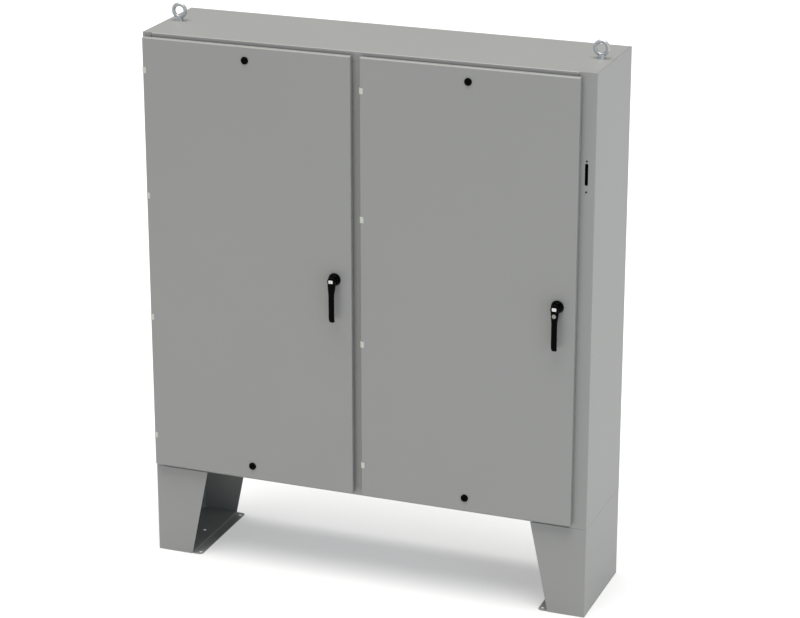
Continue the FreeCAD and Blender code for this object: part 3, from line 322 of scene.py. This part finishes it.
# each door lever is a round head that flows into a slim grip with its end turned in
leverShape = dict(segments=40, squareness=3.4, gripWidth=22.6, gripDepth=12.6, neck=56.0, crown=2.4,
                  headSlices=18, neckSlices=10, gripSlices=18, curlFrom=0.83, curlBack=10.5,
                  curlFront=4.5, tipTaper=0.18, shaft=13.8, shaftSink=2.0, headGap=0.4,
                  headFrom=0.03, headTo=0.65, crownSpread=1.15, crownGain=1.4, sharpAngle=42)
lockHole = dict(radius=8.15, sides=48, ahead=10.0, behind=0.3)


def leverRing(x, z, half, front, back):
    shape = leverShape
    middle, depth = (front + back) / 2, (back - front) / 2
    return [Vector((x + u, middle + v, z))
            for u, v in superPoints(half, depth, shape["squareness"], shape["segments"])]


def easeIn(t):
    return t * t * (3 - 2 * t)


def cutLockHole(lever, side):
    low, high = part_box("lock_cylinder")
    x, z = (low.x + high.x) / 2, (low.z + high.z) / 2
    bm = bmesh.new()
    rings = [[Vector((x + u, y, z + v)) for u, v in superPoints(
        lockHole["radius"] * mm, lockHole["radius"] * mm, 2, lockHole["sides"])]
        for y in (low.y - lockHole["ahead"] * mm, high.y + lockHole["behind"] * mm)]
    addLoft(bm, rings)
    bmesh.ops.recalc_face_normals(bm, faces=bm.faces)
    mesh = bpy.data.meshes.new("lockCutter")
    bm.to_mesh(mesh)
    bm.free()
    cutter = bpy.data.objects.new("lockCutter", mesh)
    bpy.context.scene.collection.objects.link(cutter)
    hole = lever.modifiers.new("hole", "BOOLEAN")
    hole.operation = "DIFFERENCE"
    hole.solver = "EXACT"
    hole.object = cutter
    applyModifiers(lever)
    bpy.data.objects.remove(cutter)


def makeLever(side):
    shape = leverShape
    low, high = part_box("handle_lever_" + side)
    x = (low.x + high.x) / 2
    radius = (high.x - low.x) / 2
    front, tip = low.y, low.z
    pivot = high.z - radius
    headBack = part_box("handle_base_" + side)[0].y - shape["headGap"] * mm
    crown, grip = shape["crown"] * mm, shape["gripWidth"] * mm / 2
    gripBack = front + shape["gripDepth"] * mm
    rings = []
    for i in range(shape["headSlices"] + 1):  # slices down the round head
        a = math.pi * (shape["headFrom"] + (shape["headTo"] - shape["headFrom"]) * i / shape["headSlices"])
        rise = crown * (1 - min(1.0, math.sin(a) * shape["crownSpread"])) * shape["crownGain"]
        rings.append(leverRing(x, pivot + radius * math.cos(a), radius * math.sin(a),
                               front + max(0.0, rise), headBack))
    neckTop = rings[-1][0].z
    neckHalf = radius * math.sin(math.pi * shape["headTo"])
    for i in range(1, shape["neckSlices"] + 1):  # the shoulders draw in to the grip
        t = i / shape["neckSlices"]
        rings.append(leverRing(x, neckTop - shape["neck"] * mm * t,
                               neckHalf + (grip - neckHalf) * easeIn(t),
                               front, headBack + (gripBack - headBack) * easeIn(t)))
    gripTop = rings[-1][0].z
    for i in range(1, shape["gripSlices"] + 1):  # the straight grip, then its end turned in
        t = i / shape["gripSlices"]
        curl = max(0.0, (t - shape["curlFrom"]) / (1 - shape["curlFrom"])) ** 2
        rings.append(leverRing(x, gripTop + (tip - gripTop) * t, grip * (1 - shape["tipTaper"] * curl),
                               front + shape["curlFront"] * mm * curl,
                               gripBack + shape["curlBack"] * mm * curl))
    bm = bmesh.new()
    addLoft(bm, rings)
    turned = superPoints(shape["shaft"] * mm / 2, shape["shaft"] * mm / 2, 2, shape["segments"])
    addLoft(bm, [[Vector((x + u, y, pivot + v)) for u, v in turned]
                 for y in (headBack - shape["shaftSink"] * mm, high.y)])
    lever = newPiece("lever_" + side, bm, "handle_" + side, "blackNylon")
    if side == "right":
        cutLockHole(lever, side)
    for face in lever.data.polygons:  # the faces cut for the lock come out flat
        face.use_smooth = True
    lever.data.set_sharp_from_angle(angle=math.radians(shape["sharpAngle"]))
    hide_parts("handle_lever_" + side)
    return x, pivot, front


# a plain raised badge on each lever's head
badgeShape = dict(width=18.0, height=13.0, sunk=0.4, thick=0.6, edge=0.3, rise=1.5)


def makeBadge(side, x, pivot, front):
    shape = badgeShape
    bm = bmesh.new()
    addButton(bm, x, pivot + shape["rise"] * mm, front + shape["sunk"] * mm, front - shape["thick"] * mm,
              shape["width"] * mm / 2, shape["height"] * mm / 2, shape["edge"] * mm)
    newPiece("badge_" + side, bm, "handle_" + side, "badgeFilm", False)


for side in sides:
    makeBadge(side, *makeLever(side))
print("levers shaped")

# keypad, status lamps and a raised bezel on the controller's face
controlFace = dict(keys=6, keyWidth=19.0, keyHeight=11.0, keyRise=2.4, keyEdge=1.2, keyPitch=27.0,
                   keyDrop=2.0, lampRadius=3.2, lampRise=1.8, lampDrop=8.68, lampDome=0.7,
                   bezel=4.0, bezelRise=1.6, bezelGap=1.0, bezelSink=0.5)
frameBevel = dict(deep=0.2, wide=0.22)  # shares of the bezel's width


def addFrame(bm, x0, x1, z0, z1, wall, back, front):
    # a rectangular bezel with a bevelled front
    deep, wide = wall * frameBevel["deep"], wall * frameBevel["wide"]
    rows = []
    for y, grow in ((back, 0.0), (front + deep, 0.0), (front, -wide)):
        rows.append([Vector((x, y, z)) for x, z in
                     ((x0 - wall - grow, z0 - wall - grow), (x1 + wall + grow, z0 - wall - grow),
                      (x1 + wall + grow, z1 + wall + grow), (x0 - wall - grow, z1 + wall + grow))])
    for y, grow in ((front, wide), (front + deep, 0.0), (back, 0.0)):
        rows.append([Vector((x, y, z)) for x, z in
                     ((x0 - grow, z0 - grow), (x1 + grow, z0 - grow),
                      (x1 + grow, z1 + grow), (x0 - grow, z1 + grow))])
    loops = [[bm.verts.new(p) for p in row] for row in rows]
    for a, b in zip(loops, loops[1:] + loops[:1]):
        for i in range(4):
            k = (i + 1) % 4
            bm.faces.new((a[i], a[k], b[k], b[i]))


def makeControlFace():
    shape = controlFace
    low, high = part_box("controller_case")
    screenLow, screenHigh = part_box("controller_screen")
    x, front = (low.x + high.x) / 2, low.y
    bm = bmesh.new()
    gap = shape["bezelGap"] * mm
    addFrame(bm, screenLow.x - gap, screenHigh.x + gap, screenLow.z - gap, screenHigh.z + gap,
             shape["bezel"] * mm, front + shape["bezelSink"] * mm, front - shape["bezelRise"] * mm)
    newPiece("controller_bezel", bm, "enclosure", "switchCase", False)
    bm = bmesh.new()
    z = (low.z + screenLow.z) / 2 - shape["keyDrop"] * mm
    for i in range(shape["keys"]):
        addButton(bm, x + (i - (shape["keys"] - 1) / 2) * shape["keyPitch"] * mm, z, front + mm,
                  front - shape["keyRise"] * mm, shape["keyWidth"] * mm / 2, shape["keyHeight"] * mm / 2,
                  shape["keyEdge"] * mm)
    newPiece("controller_keys", bm, "enclosure", "blackNylon")
    for i, finish in enumerate(("lampGreen", "lampAmber", "lampRed")):
        bm = bmesh.new()
        radius = shape["lampRadius"] * mm
        addButton(bm, x + (i - 1) * shape["keyPitch"] * mm, high.z - shape["lampDrop"] * mm, front + mm,
                  front - shape["lampRise"] * mm, radius, radius, radius * shape["lampDome"], 2, 24)
        newPiece(f"status_lamp_{i + 1}", bm, "enclosure", finish)


makeControlFace()
print("controller face made")

# two clamp screws on every terminal, and bolts where the bars join
terminalScrew = dict(count=24, pitch=12.4, radius=3.6, height=2.2, slot=1.1, firstOut=174.0,
                     stepIn=12.0, rowOut=19.0, turn=0.7, rowTurn=1.9)
barBolt = dict(across=13.0, height=6.5, reach=78.0, poles=3, firstIn=20.0, polePitch=95.0, turn=0.4)


def makeTerminalScrews():
    shape = terminalScrew
    low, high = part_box("terminal_strip")
    middle = (low.z + high.z) / 2
    first = (low.x + high.x) / 2 - shape["firstOut"] * mm
    step = low.y + shape["stepIn"] * mm
    bm = bmesh.new()
    for i in range(shape["count"]):
        for j, z in enumerate((middle + shape["rowOut"] * mm, middle - shape["rowOut"] * mm)):
            addScrew(bm, first + i * shape["pitch"] * mm, z, step, shape["radius"] * mm,
                     shape["height"] * mm, shape["slot"] * mm,
                     shape["turn"] * i + shape["rowTurn"] * j)
    newPiece("terminal_screws", bm, "enclosure", "zincPlate", False)


def makeBarBolts():
    shape = barBolt
    low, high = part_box("load_busbars")
    bm = bmesh.new()
    middle = (low.z + high.z) / 2
    for i in range(shape["poles"]):
        x = low.x + (shape["firstIn"] + i * shape["polePitch"]) * mm
        for sign in (-1, 1):
            addHexBolt(bm, x, middle + sign * shape["reach"] * mm, low.y, shape["across"] * mm,
                       shape["height"] * mm, shape["turn"] * i + sign)
    newPiece("busbar_bolts", bm, "enclosure", "zincPlate", False)


makeTerminalScrews()
makeBarBolts()
print("terminals and bars dressed")

# a blank rating plate, pole barriers and corner screws on each source switch
switchFace = dict(faceIn=20.0, plateWidth=62.0, plateHeight=34.0, plateUp=48.0, plateRise=0.8,
                  plateEdge=0.3, barrierWide=5.0, barrierRise=7.0, barrierOut=47.5, barrierFrom=8.0,
                  barrierTo=88.0, screwRadius=6.5, screwHeight=3.4, screwSlot=1.6, screwInset=18.0)


def makeSwitchFace(name):
    shape = switchFace
    low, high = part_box(name)
    x = (low.x + high.x) / 2
    caseFront = low.y + shape["faceIn"] * mm
    near, far, edge = shape["barrierFrom"] * mm, shape["barrierTo"] * mm, shape["plateEdge"] * mm
    bm = bmesh.new()
    for sx in (-1, 1):
        for z0, z1 in ((low.z + near, low.z + far), (high.z - far, high.z - near)):
            addButton(bm, x + sx * shape["barrierOut"] * mm, (z0 + z1) / 2, caseFront + mm,
                      caseFront - shape["barrierRise"] * mm, shape["barrierWide"] * mm / 2,
                      (z1 - z0) / 2, mm, 8, 40)
    newPiece(name + "_barriers", bm, "enclosure", "switchCase")
    bm = bmesh.new()
    addButton(bm, x, low.z + shape["plateUp"] * mm, caseFront + edge, caseFront - shape["plateRise"] * mm,
              shape["plateWidth"] * mm / 2, shape["plateHeight"] * mm / 2, edge, 9, 48)
    newPiece(name + "_plate", bm, "enclosure", "badgeFilm", False)
    bm = bmesh.new()
    inset = shape["screwInset"] * mm
    for k, (sx, sz) in enumerate(((low.x + inset, low.z + inset), (high.x - inset, low.z + inset),
                                  (low.x + inset, high.z - inset), (high.x - inset, high.z - inset))):
        addScrew(bm, sx, sz, caseFront, shape["screwRadius"] * mm, shape["screwHeight"] * mm,
                 shape["screwSlot"] * mm, 0.5 + 1.3 * k)
    newPiece(name + "_screws", bm, "enclosure", "zincPlate", False)


for name in ("source_1_switch", "source_2_switch"):
    makeSwitchFace(name)
print("switch faces dressed")

# the pale floor, the even light above it, a soft lamp on the right, and the camera
studio = dict(floorSize=500.0, floorTone=(0.49, 0.49, 0.49), floorGlow=0.38,
              floorPatch=0.8, floorVary=1.02, floorRough=0.9, worldTone=(0.95, 0.98, 1.0),
              worldStrength=0.20)
view = dict(place=(3.595, -9.282, 4.619), target=(0.064, 0.0, 1.111), lens=118.6, sensor=36.0)
sky = dict(toward=(0.0, 0.13, -1.0), strength=4.95, spread=50.0, tone=(1.0, 0.995, 0.965))
lamps = {
    "rightLamp": dict(place=(9.0, -5.6, 3.4), aim=(0.0, 0.0, 1.1), size=3.0, power=130,
                      tone=(0.58, 0.82, 1.0)),
}


def makeFloor():
    half = studio["floorSize"] / 2
    bm = bmesh.new()
    places = ((-half, -half), (half, -half), (half, half), (-half, half))
    bm.faces.new([bm.verts.new((x, y, 0)) for x, y in places])
    mesh = bpy.data.meshes.new("floor")
    bm.to_mesh(mesh)
    bm.free()
    floor = bpy.data.objects.new("floor", mesh)
    bpy.context.scene.collection.objects.link(floor)
    made = bpy.data.materials.new("floorPaper")
    made.use_nodes = True
    shader = made.node_tree.nodes["Principled BSDF"]
    wire = Wire(made.node_tree)
    place = wire.node("ShaderNodeTexCoord", out=3)
    tone = blendColour(wire, noiseAt(wire, place, studio["floorPatch"]), colour(studio["floorTone"]),
                       colour([v * studio["floorVary"] for v in studio["floorTone"]]))
    made.node_tree.links.new(tone.socket, shader.inputs["Base Color"])
    shader.inputs["Roughness"].default_value = studio["floorRough"]
    shader.inputs["Emission Color"].default_value = colour((1.0, 1.0, 1.0))
    shader.inputs["Emission Strength"].default_value = studio["floorGlow"]
    mesh.materials.append(made)


def makeLight():
    world = bpy.data.worlds.new("studio")
    bpy.context.scene.world = world
    world.use_nodes = True
    back = world.node_tree.nodes["Background"]
    back.inputs["Color"].default_value = colour(studio["worldTone"])
    back.inputs["Strength"].default_value = studio["worldStrength"]
    data = bpy.data.lights.new("softSun", "SUN")
    data.energy = sky["strength"]
    data.angle = math.radians(sky["spread"])
    data.color = sky["tone"]
    made = bpy.data.objects.new("softSun", data)
    made.rotation_euler = Vector(sky["toward"]).to_track_quat("-Z", "Y").to_euler()
    bpy.context.scene.collection.objects.link(made)
    for name, lamp in lamps.items():
        data = bpy.data.lights.new(name, "AREA")
        data.size = lamp["size"]
        data.energy = lamp["power"]
        data.color = lamp["tone"]
        made = bpy.data.objects.new(name, data)
        made.location = lamp["place"]
        aim = Vector(lamp["aim"]) - made.location
        made.rotation_euler = aim.to_track_quat("-Z", "Y").to_euler()
        bpy.context.scene.collection.objects.link(made)


def makeCamera():
    data = bpy.data.cameras.new("camera")
    data.lens = view["lens"]
    data.sensor_width = view["sensor"]
    camera = bpy.data.objects.new("camera", data)
    camera.location = view["place"]
    aim = Vector(view["target"]) - camera.location
    camera.rotation_euler = aim.to_track_quat("-Z", "Y").to_euler()
    bpy.context.scene.collection.objects.link(camera)
    bpy.context.scene.camera = camera


bpy.context.scene.view_settings.view_transform = "Standard"
makeFloor()
makeLight()
makeCamera()
print("studio ready")
